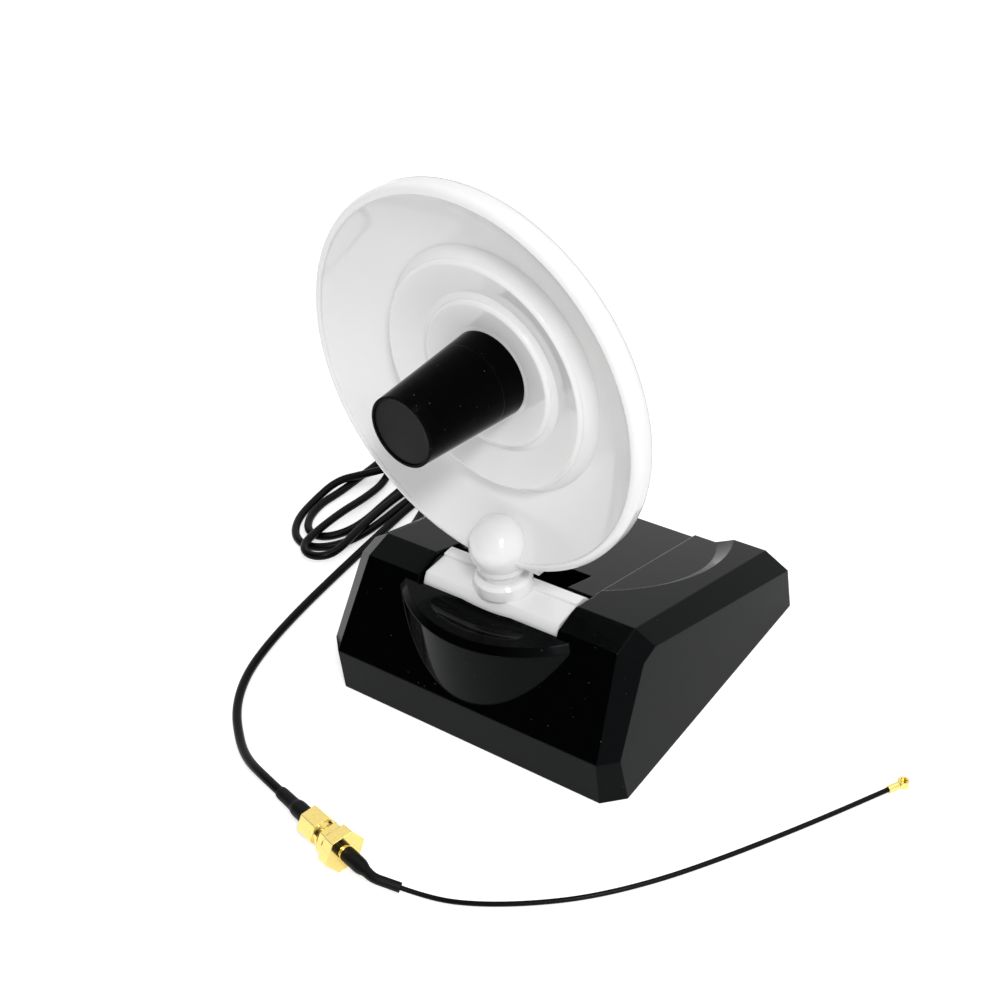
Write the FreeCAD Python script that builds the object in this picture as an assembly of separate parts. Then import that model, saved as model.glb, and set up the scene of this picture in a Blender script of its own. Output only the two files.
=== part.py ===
"""Directional wi-fi antenna: a stepped dish on a swivel stem and a tilting hinge bar, on a wedge base.

Millimetres, +Z up. The dish faces -Y, and +X is to the right of someone who looks at its face.
The origin is the centre of the base's underside.
"""
import math
import os

import FreeCAD
import Part

V = FreeCAD.Vector
X = V(1, 0, 0)
Z = V(0, 0, 1)
O = V(0, 0, 0)

# Base housing: a wedge, high at the front
base_width = 104.0
base_depth = 99.0
base_wall = 2.2
side_draft = 3.7
skirt_height = 14.5
brow_run = 17.3
brow_height = 40.0
crest_run = 9.2
crest_height = 42.0
back_height = 18.6
deck_width = 87.0
bevel_drop = 4.9
corner_across = 5.7
corner_along = 4.6
corner_drop = 3.7
corner_set = 1.7

# Scoop and channel in the deck behind the hinge
scoop_radius = 58.0
scoop_offset = 20.0
scoop_y = 26.0
scoop_start_y = -10.7
scoop_back_depth = 3.4
scoop_wall_slope = 1.67
channel_front_width = 50.0
channel_back_width = 36.0
channel_front_depth = 0.7
channel_back_depth = 4.4

# Thumb rest on the front slope
thumb_radius = 40.5
thumb_setback = 1.5
thumb_draft = 0.9
thumb_top = 38.2
thumb_band_drop = 2.0
thumb_band_step = 1.8
dimple_length = 32.0
dimple_width = 11.0
dimple_depth = 2.2
dimple_setback = 12.0

# Hinge bar, its pins and friction washers
hinge_y = -23.5
hinge_z = 34.0
bar_radius = 9.0
bar_length = 47.0
bar_flat = 7.0
bar_step_drop = 0.7
bar_step_y = 2.0
bar_gap = 0.4
slot_width = 49.0
pin_radius = 2.5
pin_grip = 8.0
pin_boss_length = 9.0
pin_boss_wall = 2.6
washer_radius = 6.5
running_gap = 0.05
seat_gap = 0.1
lead_hole_radius = 2.4

# Swivel between hinge bar and dish
collar_radius = 8.4
collar_top = 44.8
collar_lip = 0.9
swivel_washer_thickness = 0.6
stem_shoulder_radius = 6.0
stem_neck_radius = 4.6
stem_radius = 4.0
stem_thread_radius = 3.2
stem_bore = 1.55
stem_foot = 35.8
stem_flange_radius = 5.8
stem_flange_thickness = 1.6
web_underside = 39.6
bar_pocket_radius = 5.5
bar_lead_slot = 5.0
swivel_nut_radius = 4.9
swivel_nut_thickness = 2.5
spring_washer_thickness = 0.9

# Dish, in its own frame: radius and drop behind the plane of its rim
# As photographed it is turned a little on its stem, and its middle stands a little to one side
dish_y = -25.7
dish_foot = 49.6
dish_lean = 0.9
dish_side = -3.4
dish_turn = -4.2
dish_radius = 56.0
rim_round = 2.2
rim_band = 2.7
rim_inner_drop = 0.9
rim_wall_foot = 5.8
bowl_foot_radius = 36.2
bowl_depth = 10.6
bowl_sag = 1.3
step1_radius = 33.6
step1_drop = 6.3
step1_inner_drop = 9.9
step2_foot_radius = 23.4
step2_radius = 21.6
step2_drop = 8.2
seat_drop = 9.4
seat_radius = 13.6
step_round = 1.2
dish_skin = 2.0
dish_seam_drop = 5.6
back_round = 18.0
back_shoulder_drop = 18.5
back_sag = 0.5
back_bevel = 5.0
back_drop = 20.5

# Hub at the dish's lower edge, and its room in the base
dome_radius = 8.8
hub_neck_radius = 7.2
hub_neck_wall = 1.2
dome_z = 54.4
hub_foot = 47.5
hub_floor = 2.0
hub_wall = 2.0
lobe_width = 24.0
lobe_set = 1.7
lobe_chamfer = 5.0
lobe_reach = 10.0
lobe_corner = 6.0
lobe_top = 62.0
hub_gap = 2.4
hub_side_gap = 1.8
hub_relief_drop = 8.6

# Feed in front of the dish
feed_base_radius = 12.5
feed_tip_radius = 10.1
feed_tip = 24.1
feed_joint = -2.1
feed_wall = 1.6
feed_floor = 2.0
feed_cap_radius = 9.2
feed_cap_thickness = 1.8
feed_cap_inset = 0.3
feed_spigot_radius = 6.0
feed_nut_radius = 9.0
feed_nut_thickness = 2.0
feed_board_radius = 8.0
feed_board_thickness = 1.0
feed_stem_radius = 2.4
feed_stem_tip = 16.2
element_radius = 7.0
element_thickness = 0.8
reflector_radius = 30.0
reflector_thickness = 0.8

# Fasteners, feet and base plate
plate_thickness = 2.0
plate_gap = 0.25
boss_radius = 3.6
screw_radius = 1.5
screw_head_radius = 2.8
screw_head_thickness = 1.2
screw_length = 8.0
screw_slot = 0.6
base_screw_x = 41.0
base_screw_front_y = -36.0
base_screw_back_y = 40.0
foot_radius = 5.0
foot_thickness = 1.6
foot_x = 33.0
foot_front_y = -29.0
foot_back_y = 31.0
dish_screw_circle = 26.0
dish_screw_count = 3

# Cord outlet, and the flat coil of loose loops beside the base
cord_radius = 1.4
inner_lead_radius = 0.9
outlet_y = 14.5
outlet_z = 6.6
outlet_radius = 3.2
outlet_flange_radius = 4.4
outlet_flange = 1.2
outlet_nose_radius = 2.2
outlet_nose = 7.0
outlet_tail = 2.0
coil_height = 6.4
coil_x = -104.5
coil_y = 40.2
coil_width = 33.0
coil_length = 100.0
coil_band = 12.0

# Screw connector on the cord's end: places along its axis from the boot's rear end
connector_x = -28.8
connector_y = -95.8
connector_turn = -13.0
boot_tip_radius = 1.8
boot_radius = 2.2
ferrule_radius = 2.5
boot_length = 8.0
ferrule_end = 14.0
coupling_flats = 8.0
coupling_start = 14.3
coupling_hex_end = 20.8
coupling_end = 22.5
coupling_lip_radius = 3.8
coupling_floor = 2.5
thread_radius = 3.1
thread_gap = 0.1
plug_radius = 1.95
plug_flange_radius = 3.0
plug_flange = 1.0
jack_bore_depth = 5.0
panel_nut_flats = 8.6
panel_nut_thickness = 2.6
lock_washer_radius = 5.3
lock_washer_thickness = 0.7
flange_start = 26.9
flange_flats = 11.0
flange_thickness = 3.7
barrel_radius = 2.0
barrel_end = 35.0
tail_radius = 2.4
tail_end = 38.0
sleeve_radius = 1.3
pigtail_radius = 0.685

# Small snap connector on the pigtail's end
snap_barrel_radius = 1.0
snap_barrel_length = 3.4
snap_cap_radius = 1.5
snap_cap_height = 1.9
snap_cap_center = 5.0
snap_bore = 0.95
snap_bore_depth = 1.2
snap_neck = 1.4

# Routes of the cord, chosen by hand
lead_break = 1.2
lead_in_route = [
    V(-67.5, outlet_y, outlet_z), V(-75.0, 18.6, 3.6),
    V(-79.8, 27.5, 1.45), V(-82.8, 38.5, 1.45), V(-86.0, 49.0, 1.45), V(-90.0, 57.0, 1.45),
]
run_route = [
    V(-87.6, 42.0, 1.45), V(-86.2, 30.0, 1.45), V(-84.9, 12.0, 1.45), V(-84.0, -9.0, 1.45),
    V(-82.2, -31.0, 1.45), V(-79.6, -49.0, 1.45), V(-75.6, -63.0, 1.45), V(-68.2, -75.0, 1.45),
    V(-58.5, -84.0, 1.6), V(-50.0, -90.2, 3.2),
]
pigtail_route = [
    V(27.5, -100.0, 0.8), V(38.0, -95.6, 0.75), V(50.0, -88.0, 0.75), V(62.0, -78.2, 0.75), V(74.0, -64.6, 0.75),
    V(85.0, -48.7, 0.75), V(96.0, -31.0, 0.75), V(104.6, -16.7, 1.0), V(110.5, -6.2, 1.0),
]
lead_bend_inset = 7.9
lead_bend_drop = 9.2
lead_foot_drop = 14.7
lead_hub_rise = 0.0
cord_straight = 8.6
sleeve_corner = 43.0
sleeve_share = 0.47
base_lead_route = [
    V(0, hinge_y, hinge_z - lead_break), V(0, hinge_y, 17.0), V(-9.0, -14.0, 8.6),
    V(-22.0, 6.0, outlet_z), V(-37.0, outlet_y, outlet_z),
]

front_y = -base_depth / 2
back_y = base_depth / 2
brow_y = front_y + brow_run
crest_y = brow_y + crest_run
slot_half = slot_width / 2
bar_half = bar_length / 2
high_above = 2 * crest_height
hinge_at = V(0, hinge_y, hinge_z)
dish_z = dish_foot + dish_radius
rim_crest_radius = dish_radius - rim_round
rim_inner_radius = dish_radius - rim_band
back_shoulder_radius = dish_radius - back_round
back_flat_radius = back_shoulder_radius - back_bevel
connector_at = V(connector_x, connector_y, flange_flats / 2 + running_gap)
lobe_swing = math.hypot(lobe_width / 2 - lobe_corner, lobe_reach - lobe_corner) + lobe_corner
hub_sweep = math.hypot(hub_foot - hinge_z, lobe_swing) + hub_gap
hub_relief_width = 2 * (lobe_swing + hub_side_gap)
face_inside = seat_drop + dish_skin
back_inside = back_drop - dish_skin
post_split = (face_inside + back_inside) / 2
spigot_end = face_inside + reflector_thickness + feed_nut_thickness + seat_gap
span = 4 * (dish_z + dish_radius)
dish_place = FreeCAD.Placement(V(dish_side, dish_y, dish_z), FreeCAD.Rotation(X, 90 - dish_lean))
swivel_place = FreeCAD.Placement(O, FreeCAD.Rotation(Z, dish_turn), V(0, hinge_y, 0))
connector_place = FreeCAD.Placement(connector_at, FreeCAD.Rotation(Z, connector_turn))


def side_x(height):
    """Half width between the drafted side walls at a height."""
    return base_width / 2 - height * math.tan(math.radians(side_draft))


def deck_height(y):
    """Height of the sloping deck at a distance from the front."""
    share = (y - crest_y) / (back_y - crest_y)
    return crest_height + share * (back_height - crest_height)


def half_space(point, normal):
    """Large block that fills the side of a plane that its normal points to."""
    block = Part.makeBox(span, span, span, V(-span / 2, -span / 2, 0))
    block.Placement = FreeCAD.Placement(point, FreeCAD.Rotation(Z, normal))
    return block


def box(low, high):
    """Box between two opposite corners."""
    size = high - low
    return Part.makeBox(size.x, size.y, size.z, low)


def cylinder_x(radius, half_length):
    """Cylinder about the hinge axis, centred on X = 0."""
    return Part.makeCylinder(radius, 2 * half_length, hinge_at - X * half_length, X)


def upright(radius, low, high):
    """Cylinder about the swivel axis between two heights."""
    return Part.makeCylinder(radius, high - low, V(0, hinge_y, low))


def fuse(shapes):
    """One solid from shapes that touch or overlap."""
    first, *rest = shapes
    return first.fuse(rest).removeSplitter()


def mirrored_pair(shape):
    """A right-hand shape and its left-hand twin."""
    return Part.makeCompound([shape, shape.mirror(O, X)])


def placed(shape, placement):
    """The shape moved from its own frame into the part's frame."""
    moved = shape.copy()
    moved.Placement = placement.multiply(moved.Placement)
    return moved


def turned(points):
    """Solid turned about Z from a closed outline of radius and height pairs, or (pair, pair) for an arc."""
    edges = []
    here = first = V(points[0][0], 0, points[0][1])
    for step in points[1:] + points[:1]:
        if isinstance(step[0], tuple):
            middle, end = (V(r, 0, h) for r, h in step)
            edges.append(Part.Arc(here, middle, end).toShape())
        else:
            end = V(step[0], 0, step[1])
            edges.append(Part.makeLine(here, end))
        here = end
    return Part.Face(Part.Wire(edges)).revolve(O, Z, 360)


def arc_to(start, end, bulge):
    """Arc of an outline whose middle stands off its chord by the bulge, to the right of the way."""
    run = (end[0] - start[0], end[1] - start[1])
    length = math.hypot(*run)
    middle = (
        (start[0] + end[0]) / 2 + run[1] / length * bulge,
        (start[1] + end[1]) / 2 - run[0] / length * bulge,
    )
    return (middle, end)


# Base housing

def wedge_planes():
    """Three points on each outer plane of the wedge."""
    deck = deck_width / 2
    skirt_edge = V(base_width / 2 - corner_across, front_y, skirt_height)
    skirt_side = V(side_x(skirt_height), front_y + corner_along, skirt_height)
    brow = V(deck, brow_y, brow_height)
    crest = V(deck, crest_y, crest_height)
    back = V(deck, back_y, back_height)
    bevel_foot = back_height - bevel_drop
    facet_foot = brow_height - corner_drop
    middle = [
        (V(0, front_y, 0), V(1, front_y, 0), V(0, front_y, 1)),
        (V(0, front_y, skirt_height), V(1, front_y, skirt_height), brow),
        (V(0, brow_y, brow_height), brow, crest),
        (V(0, crest_y, crest_height), crest, back),
        (V(0, back_y, 0), V(1, back_y, 0), V(0, back_y, 1)),
    ]
    right = [
        (V(side_x(0), 0, 0), V(side_x(0), 1, 0), V(side_x(1), 0, 1)),
        (skirt_edge, skirt_side, skirt_edge - Z),
        (skirt_edge, skirt_side, brow),
        (brow, crest, V(side_x(facet_foot), brow_y + corner_set, facet_foot)),
        (crest, back, V(side_x(bevel_foot), back_y, bevel_foot)),
    ]
    left = [tuple(V(-p.x, p.y, p.z) for p in plane) for plane in right]
    return middle + right + left


def wedge(inset, foot):
    """The base's outer form on a flat foot, with every plane moved inwards by the inset."""
    body = box(V(-base_width, -base_depth, foot), V(base_width, base_depth, high_above))
    inside = V(0, 0, skirt_height / 2)
    for a, b, c in wedge_planes():
        normal = (b - a).cross(c - a).normalize()
        if normal.dot(a - inside) < 0:
            normal = normal * -1
        body = body.cut(half_space(a - normal * inset, normal))
    return body


def thumb_rest(inset, foot):
    """Round-fronted, slightly drafted shelf on the front slope, with a bevelled band below its top."""
    center = V(0, front_y + thumb_setback + thumb_radius, foot)
    radius = thumb_radius - inset
    height = thumb_top - inset - foot - thumb_band_drop
    post = Part.makeCone(radius + thumb_draft, radius, height, center)
    band = Part.makeCone(radius, radius - thumb_band_step, thumb_band_drop, center + Z * height)
    return fuse([post, band]).common(half_space(hinge_at, V(0, -1, 0)))


def thumb_dimple(grow):
    """Shallow boat-shaped hollow for a finger, turned about an axis along X above the shelf."""
    half_length = dimple_length / 2 + grow
    half_width = dimple_width / 2 + grow
    depth = dimple_depth + grow
    rise = (half_width ** 2 - depth ** 2) / (2 * depth)
    axis = V(0, front_y + dimple_setback, thumb_top + rise)
    left = axis - X * half_length
    right = axis + X * half_length
    drop = Z * rise
    arc = Part.Arc(left - drop, axis - Z * (rise + depth), right - drop).toShape()
    sides = [Part.makeLine(right - drop, right), Part.makeLine(right, left), Part.makeLine(left, left - drop)]
    return Part.Face(Part.Wire([arc] + sides)).revolve(axis, X, 360)


def hinge_slot(grow):
    """Room for the hinge bar: a round trough, open above, with the thumb shelf in front of it."""
    radius = bar_radius + bar_gap + grow
    half = slot_half + grow
    trough = cylinder_x(radius, half)
    above = box(V(-half, hinge_y - radius, hinge_z), V(half, hinge_y + radius, high_above))
    shelf = box(V(-half, 2 * front_y, thumb_top - grow), V(half, hinge_y, high_above))
    return fuse([trough, above, shelf])


def hub_relief(grow):
    """Pocket behind the bar that the hub sweeps into when the dish leans back."""
    half = hub_relief_width / 2 + grow
    reach = hub_sweep + grow
    room = box(V(-half, hinge_y, hinge_z - hub_relief_drop - grow), V(half, back_y, high_above))
    above = box(V(-half, hinge_y, hinge_z), V(half, hinge_y + reach, high_above))
    return fuse([cylinder_x(reach, half).common(room), above])


def sloped_floor(start_y, start_drop, end_drop, grow):
    """Space above a floor that falls away from the deck between a line and the back edge."""
    front = V(0, start_y, deck_height(start_y) - start_drop)
    back = V(0, back_y, back_height - end_drop)
    normal = X.cross((back - front).normalize())
    return half_space(front - normal * grow, normal)


def deck_channel(grow):
    """Straight-sided channel down the middle of the deck, deeper towards the back."""
    end = back_y + 2 * base_wall
    front_half = channel_front_width / 2 + grow
    back_half = channel_back_width / 2 + grow
    front = [V(-front_half, hinge_y, 0), V(front_half, hinge_y, 0)]
    plan = front + [V(back_half, end, 0), V(-back_half, end, 0)]
    prism = Part.Face(Part.makePolygon(plan + plan[:1])).extrude(Z * high_above)
    floor = sloped_floor(hinge_y + bar_radius, channel_front_depth, channel_back_depth, grow)
    return prism.common(floor)


def deck_scoop(grow):
    """Lens-shaped scoop with sloping round walls, zero deep at the front."""
    center = V(0, scoop_y, deck_height(scoop_y))
    normal = X.cross(V(0, back_y - crest_y, back_height - crest_height).normalize())
    below = 3 * scoop_back_depth
    above = crest_height / 2
    lens = half_space(V(0, hinge_y + bar_radius, 0), V(0, 1, 0))
    for side in (-1, 1):
        foot = center + X * side * scoop_offset - normal * below
        low = scoop_radius + grow - below * scoop_wall_slope
        high = scoop_radius + grow + above * scoop_wall_slope
        lens = lens.common(Part.makeCone(low, high, below + above, foot, normal))
    return lens.common(sloped_floor(scoop_start_y, 0, scoop_back_depth, grow))


def screw_places():
    """Feet of the base plate's four screws."""
    rows = (base_screw_front_y, base_screw_back_y)
    return [V(side * base_screw_x, y, 0) for side in (-1, 1) for y in rows]


def foot_places():
    """Feet of the four pads."""
    return [V(side * foot_x, y, 0) for side in (-1, 1) for y in (foot_front_y, foot_back_y)]


def base_shell():
    """Moulded housing: wedge and thumb rest, hollow, with slot, scoop, screw posts and pin bosses."""
    outer = fuse([wedge(0, 0), thumb_rest(0, 0)])
    hollow = fuse([wedge(base_wall, -base_wall), thumb_rest(base_wall, -base_wall)])
    for cutter in (hinge_slot, hub_relief, deck_channel, deck_scoop, thumb_dimple):
        outer = outer.cut(cutter(0))
        hollow = hollow.cut(cutter(base_wall))
    pieces = [outer.cut(hollow)]
    for place in screw_places():
        seat = place + Z * plate_thickness
        post = Part.makeCylinder(boss_radius, crest_height, seat).common(hollow)
        pieces.append(post.cut(Part.makeCylinder(screw_radius + seat_gap, screw_length, seat)))
    for side in (-1, 1):
        start = hinge_at + X * side * (slot_half + base_wall / 2)
        boss = Part.makeCylinder(pin_radius + pin_boss_wall, pin_boss_length - base_wall / 2, start, X * side)
        pieces.append(boss)
    shell = fuse(pieces)
    shell = shell.cut(cylinder_x(pin_radius + running_gap, slot_half + pin_boss_length))
    shell = shell.cut(upright(lead_hole_radius, hinge_z - bar_radius - 2 * base_wall, hinge_z))
    outlet = V(-base_width / 2 - base_wall, outlet_y, outlet_z)
    return shell.cut(Part.makeCylinder(outlet_radius + running_gap, 3 * base_wall, outlet, X))


def base_plate():
    """Flat plate that closes the base from below, with recesses for the feet and screw heads."""
    slab = box(V(-base_width, -base_depth, 0), V(base_width, base_depth, plate_thickness))
    plate = wedge(base_wall + plate_gap, 0).common(slab)
    for place in foot_places():
        plate = plate.cut(Part.makeCylinder(foot_radius + seat_gap, foot_thickness, place))
    for place in screw_places():
        plate = plate.cut(Part.makeCylinder(screw_radius + seat_gap, plate_thickness, place))
        plate = plate.cut(Part.makeCylinder(screw_head_radius + seat_gap, screw_head_thickness, place))
    return plate


def base_screws():
    """Four slotted screws, up through the plate into the housing's posts."""
    reach = plate_thickness + screw_length - seat_gap
    screws = []
    for place in screw_places():
        head = Part.makeCylinder(screw_head_radius, screw_head_thickness, place)
        shank = Part.makeCylinder(screw_radius, reach, place)
        corner = V(screw_head_radius, screw_slot / 2, 0)
        slot = box(place - corner, place + corner + Z * screw_slot)
        screws.append(fuse([head, shank]).cut(slot))
    return Part.makeCompound(screws)


def base_feet():
    """Four round rubber pads in the plate's recesses."""
    pads = [Part.makeCylinder(foot_radius, foot_thickness, place) for place in foot_places()]
    return Part.makeCompound(pads)


# Hinge bar

def hinge_bar():
    """Moulded round bar with a stepped flat on top, a swivel collar and bores for the pins."""
    flat_z = hinge_z + bar_flat
    bar = cylinder_x(bar_radius, bar_half)
    bar = bar.cut(half_space(V(0, 0, flat_z), Z))
    low = V(-bar_half, hinge_y - bar_radius, flat_z - bar_step_drop)
    bar = bar.cut(box(low, V(bar_half, hinge_y + bar_step_y, high_above)))
    blend = upright(collar_radius, hinge_z, collar_top).common(cylinder_x(bar_radius, bar_half))
    post = upright(collar_radius, flat_z - bar_step_drop, collar_top - collar_lip)
    lip = Part.makeCone(
        collar_radius, collar_radius - collar_lip, collar_lip, V(0, hinge_y, collar_top - collar_lip)
    )
    bar = fuse([bar, blend, post, lip])
    bar = bar.cut(upright(stem_radius + running_gap, hinge_z, collar_top))
    bar = bar.cut(upright(bar_pocket_radius, hinge_z - 2 * bar_radius, web_underside))
    slot_half_width = bar_lead_slot / 2
    slot_low = V(-slot_half_width, hinge_y, hinge_z - 2 * bar_radius)
    bar = bar.cut(box(slot_low, V(slot_half_width, hinge_y + 2 * bar_radius, hinge_z + lead_hole_radius)))
    for side in (-1, 1):
        start = hinge_at + X * side * (bar_half - pin_grip)
        bar = bar.cut(Part.makeCylinder(pin_radius + running_gap, bar_length, start, X * side))
    return bar


def hinge_pins():
    """Two steel pins, held in the housing's bosses, that the bar turns on."""
    start = bar_half - pin_grip + seat_gap
    end = slot_half + pin_boss_length
    return mirrored_pair(Part.makeCylinder(pin_radius, end - start, hinge_at + X * start, X))


def friction_washers():
    """Two rubber rings between the bar's ends and the slot's walls."""
    start = hinge_at + X * (bar_half + seat_gap)
    thickness = slot_half - bar_half - 2 * seat_gap
    disc = Part.makeCylinder(washer_radius, thickness, start, X)
    return mirrored_pair(disc.cut(Part.makeCylinder(pin_radius + seat_gap, thickness, start, X)))


# Swivel

def swivel_stem():
    """Hollow stem of the dish: a flange in the hub, a shoulder, a journal and a threaded foot."""
    shoulder_foot = collar_top + swivel_washer_thickness
    flange_foot = hub_foot + hub_floor
    stem = fuse([
        upright(stem_thread_radius, stem_foot, shoulder_foot),
        upright(stem_radius, web_underside, hub_foot),
        upright(stem_shoulder_radius, shoulder_foot, hub_foot),
        upright(stem_neck_radius, hub_foot, flange_foot),
        upright(stem_flange_radius, flange_foot, flange_foot + stem_flange_thickness),
    ])
    return stem.cut(upright(stem_bore, stem_foot, flange_foot + stem_flange_thickness))


def swivel_washer():
    """Thin slip washer between the bar's collar and the stem's shoulder."""
    top = collar_top + swivel_washer_thickness
    disc = upright(stem_shoulder_radius, collar_top, top)
    return disc.cut(upright(stem_radius + seat_gap, collar_top, top))


def spring_washer():
    """Spring washer under the bar's web."""
    low = web_underside - spring_washer_thickness
    disc = upright(swivel_nut_radius, low, web_underside)
    return disc.cut(upright(stem_thread_radius + seat_gap, low, web_underside))


def swivel_nut():
    """Round nut on the stem's foot that holds the dish to the bar."""
    top = web_underside - spring_washer_thickness
    low = top - swivel_nut_thickness
    return upright(swivel_nut_radius, low, top).cut(upright(stem_thread_radius + running_gap, low, top))


# Dish

def dish_outer():
    """Full outer form of the dish: stepped face, rounded rim, outer wall and shallow round back."""
    round1 = step1_radius - step_round
    round2 = step2_radius - step_round
    soft = step_round * (1 - math.sqrt(0.5))
    rim_soft = rim_round * (1 - math.sqrt(0.5))
    foot = (bowl_foot_radius, -bowl_depth)
    lip = (rim_inner_radius, -rim_inner_drop)
    wall_foot = (dish_radius, -rim_wall_foot)
    shoulder = (back_shoulder_radius, -back_shoulder_drop)
    return turned([
        (0, -back_drop),
        (0, -seat_drop),
        (seat_radius, -seat_drop),
        (round2, -step2_drop),
        ((step2_radius - soft, -step2_drop - soft), (step2_radius, -step2_drop - step_round)),
        (step2_foot_radius, -step1_inner_drop),
        (round1, -step1_drop),
        ((step1_radius - soft, -step1_drop - soft), (step1_radius, -step1_drop - step_round)),
        foot,
        arc_to(foot, lip, bowl_sag),
        arc_to(lip, (rim_crest_radius, 0), -rim_inner_drop / 4),
        ((dish_radius - rim_soft, -rim_soft), (dish_radius, -rim_round)),
        wall_foot,
        arc_to(wall_foot, shoulder, -back_sag),
        (back_flat_radius, -back_drop),
    ])


def dish_inner():
    """Hollow of the dish between its face and its back."""
    face = seat_drop + dish_skin
    foot = (bowl_foot_radius, -bowl_depth - dish_skin)
    lip = (rim_inner_radius, -rim_inner_drop - dish_skin)
    wall = dish_radius - dish_skin
    wall_foot = (wall, -rim_wall_foot)
    shoulder = (back_shoulder_radius - dish_skin / 2, -back_shoulder_drop + dish_skin)
    return turned([
        (0, -back_drop + dish_skin),
        (0, -face),
        (step1_radius - dish_skin, -face),
        foot,
        arc_to(foot, lip, bowl_sag),
        (wall, -rim_inner_drop - dish_skin),
        wall_foot,
        arc_to(wall_foot, shoulder, -back_sag),
        (back_flat_radius, -back_drop + dish_skin),
    ])


def face_side():
    """Space in front of the parting surface: the seam at the rim, and the middle of the hollow."""
    deep = (bowl_depth + back_drop) / 2
    return turned([
        (0, span / 4),
        (span / 4, span / 4),
        (span / 4, -dish_seam_drop),
        (dish_radius - 1.5 * dish_skin, -dish_seam_drop),
        (bowl_foot_radius, -deep),
        (0, -deep),
    ])


def hub(inset):
    """Ball on a neck at the dish's lower edge, with a rounded lobe behind it; an inset gives its hollow."""
    foot = hub_foot + (hub_floor if inset else 0)
    radius = dome_radius - inset
    half = lobe_width / 2 - inset
    front = hinge_y + lobe_set + inset
    lobe = box(V(-half, front, foot), V(half, hinge_y + lobe_reach - inset, lobe_top - inset))
    rear_corners = [
        edge for edge in lobe.Edges
        if edge.BoundBox.ZLength > lobe_corner and edge.CenterOfMass.y > front
    ]
    lobe = lobe.makeFillet(lobe_corner - inset, rear_corners)
    slope_foot = V(0, front, lobe_top - inset - lobe_chamfer)
    lobe = lobe.cut(half_space(slope_foot, V(0, -1, 1)))
    dome = Part.makeSphere(radius, V(0, hinge_y, dome_z)).common(half_space(V(0, 0, foot), Z))
    neck = hub_neck_radius - (hub_neck_wall if inset else 0)
    return fuse([dome, upright(neck, foot, dome_z), lobe])


def dish_screw_places():
    """Places of the screws round the dish's back, in the dish's frame."""
    turns = [math.radians(90 + 360 * i / dish_screw_count) for i in range(dish_screw_count)]
    return [V(dish_screw_circle * math.cos(a), dish_screw_circle * math.sin(a), 0) for a in turns]


def dish_post(place, radius, high, low):
    """Cylinder along the dish's axis between two drops behind the rim."""
    return placed(Part.makeCylinder(radius, low - high, place - Z * low), dish_place)


def dish_shell():
    """Both halves of the dish as one hollow body."""
    outer = fuse([placed(dish_outer(), dish_place), hub(0)])
    inner = fuse([placed(dish_inner(), dish_place), hub(hub_wall)])
    shell = outer.cut(inner)
    return shell.cut(upright(stem_neck_radius + running_gap, hub_foot, hub_foot + hub_floor))


def dish_front(shell):
    """Front half: stepped face, rim and dome, with a seat for the feed and screw posts inside."""
    front = shell.common(placed(face_side(), dish_place))
    posts = [dish_post(place, boss_radius, face_inside, post_split) for place in dish_screw_places()]
    front = fuse([front] + posts)
    for place in dish_screw_places():
        front = front.cut(dish_post(place, screw_radius + seat_gap, face_inside, post_split))
    return front.cut(dish_post(O, feed_spigot_radius + running_gap, 0, face_inside))


def dish_back(shell):
    """Back half: shallow pan and hub lobe, with counterbored screw posts."""
    back = shell.cut(placed(face_side(), dish_place))
    posts = [dish_post(place, boss_radius, post_split, back_drop) for place in dish_screw_places()]
    back = fuse([back] + posts)
    for place in dish_screw_places():
        back = back.cut(dish_post(place, screw_radius + seat_gap, post_split, back_drop))
        seat = back_drop - screw_head_thickness
        back = back.cut(dish_post(place, screw_head_radius + seat_gap, seat, back_drop))
    return back


def dish_screws():
    """Screws through the back into the front's posts."""
    screws = []
    for place in dish_screw_places():
        head = dish_post(place, screw_head_radius, back_drop - screw_head_thickness, back_drop)
        shank = dish_post(place, screw_radius, face_inside + seat_gap, back_drop)
        low = place - V(screw_head_radius, screw_slot / 2, back_drop)
        slot = box(low, low + V(2 * screw_head_radius, screw_slot, screw_slot))
        screws.append(fuse([head, shank]).cut(placed(slot, dish_place)))
    return Part.makeCompound(screws)


# Feed

def feed_radius(height):
    """Outer radius of the tapered feed at a height in the dish's frame."""
    share = (height + seat_drop) / (feed_tip + seat_drop)
    return feed_base_radius + share * (feed_tip_radius - feed_base_radius)


def feed_collar():
    """Foot of the feed: a short taper with a floor and a spigot through the dish's face."""
    floor = -seat_drop + feed_floor
    cup = turned([
        (0, -seat_drop),
        (feed_base_radius, -seat_drop),
        (feed_radius(feed_joint), feed_joint),
        (feed_radius(feed_joint) - feed_wall, feed_joint),
        (feed_radius(floor) - feed_wall, floor),
        (0, floor),
    ])
    spigot = Part.makeCylinder(feed_spigot_radius, spigot_end - seat_drop, -Z * spigot_end)
    bore = Part.makeCylinder(feed_stem_radius + running_gap, spigot_end, -Z * spigot_end)
    return placed(fuse([cup, spigot]).cut(bore), dish_place)


def feed_housing():
    """Tapered sleeve of the feed, with a rebate for the end cap."""
    rebate = feed_tip - feed_cap_inset - feed_cap_thickness
    return placed(turned([
        (feed_radius(feed_joint) - feed_wall, feed_joint),
        (feed_radius(feed_joint), feed_joint),
        (feed_tip_radius, feed_tip),
        (feed_cap_radius + running_gap, feed_tip),
        (feed_cap_radius + running_gap, rebate),
        (feed_radius(rebate) - feed_wall, rebate),
    ]), dish_place)


def feed_cap():
    """Round cap set just inside the feed's tip."""
    rebate = feed_tip - feed_cap_inset - feed_cap_thickness
    return placed(Part.makeCylinder(feed_cap_radius, feed_cap_thickness, Z * rebate), dish_place)


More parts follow.
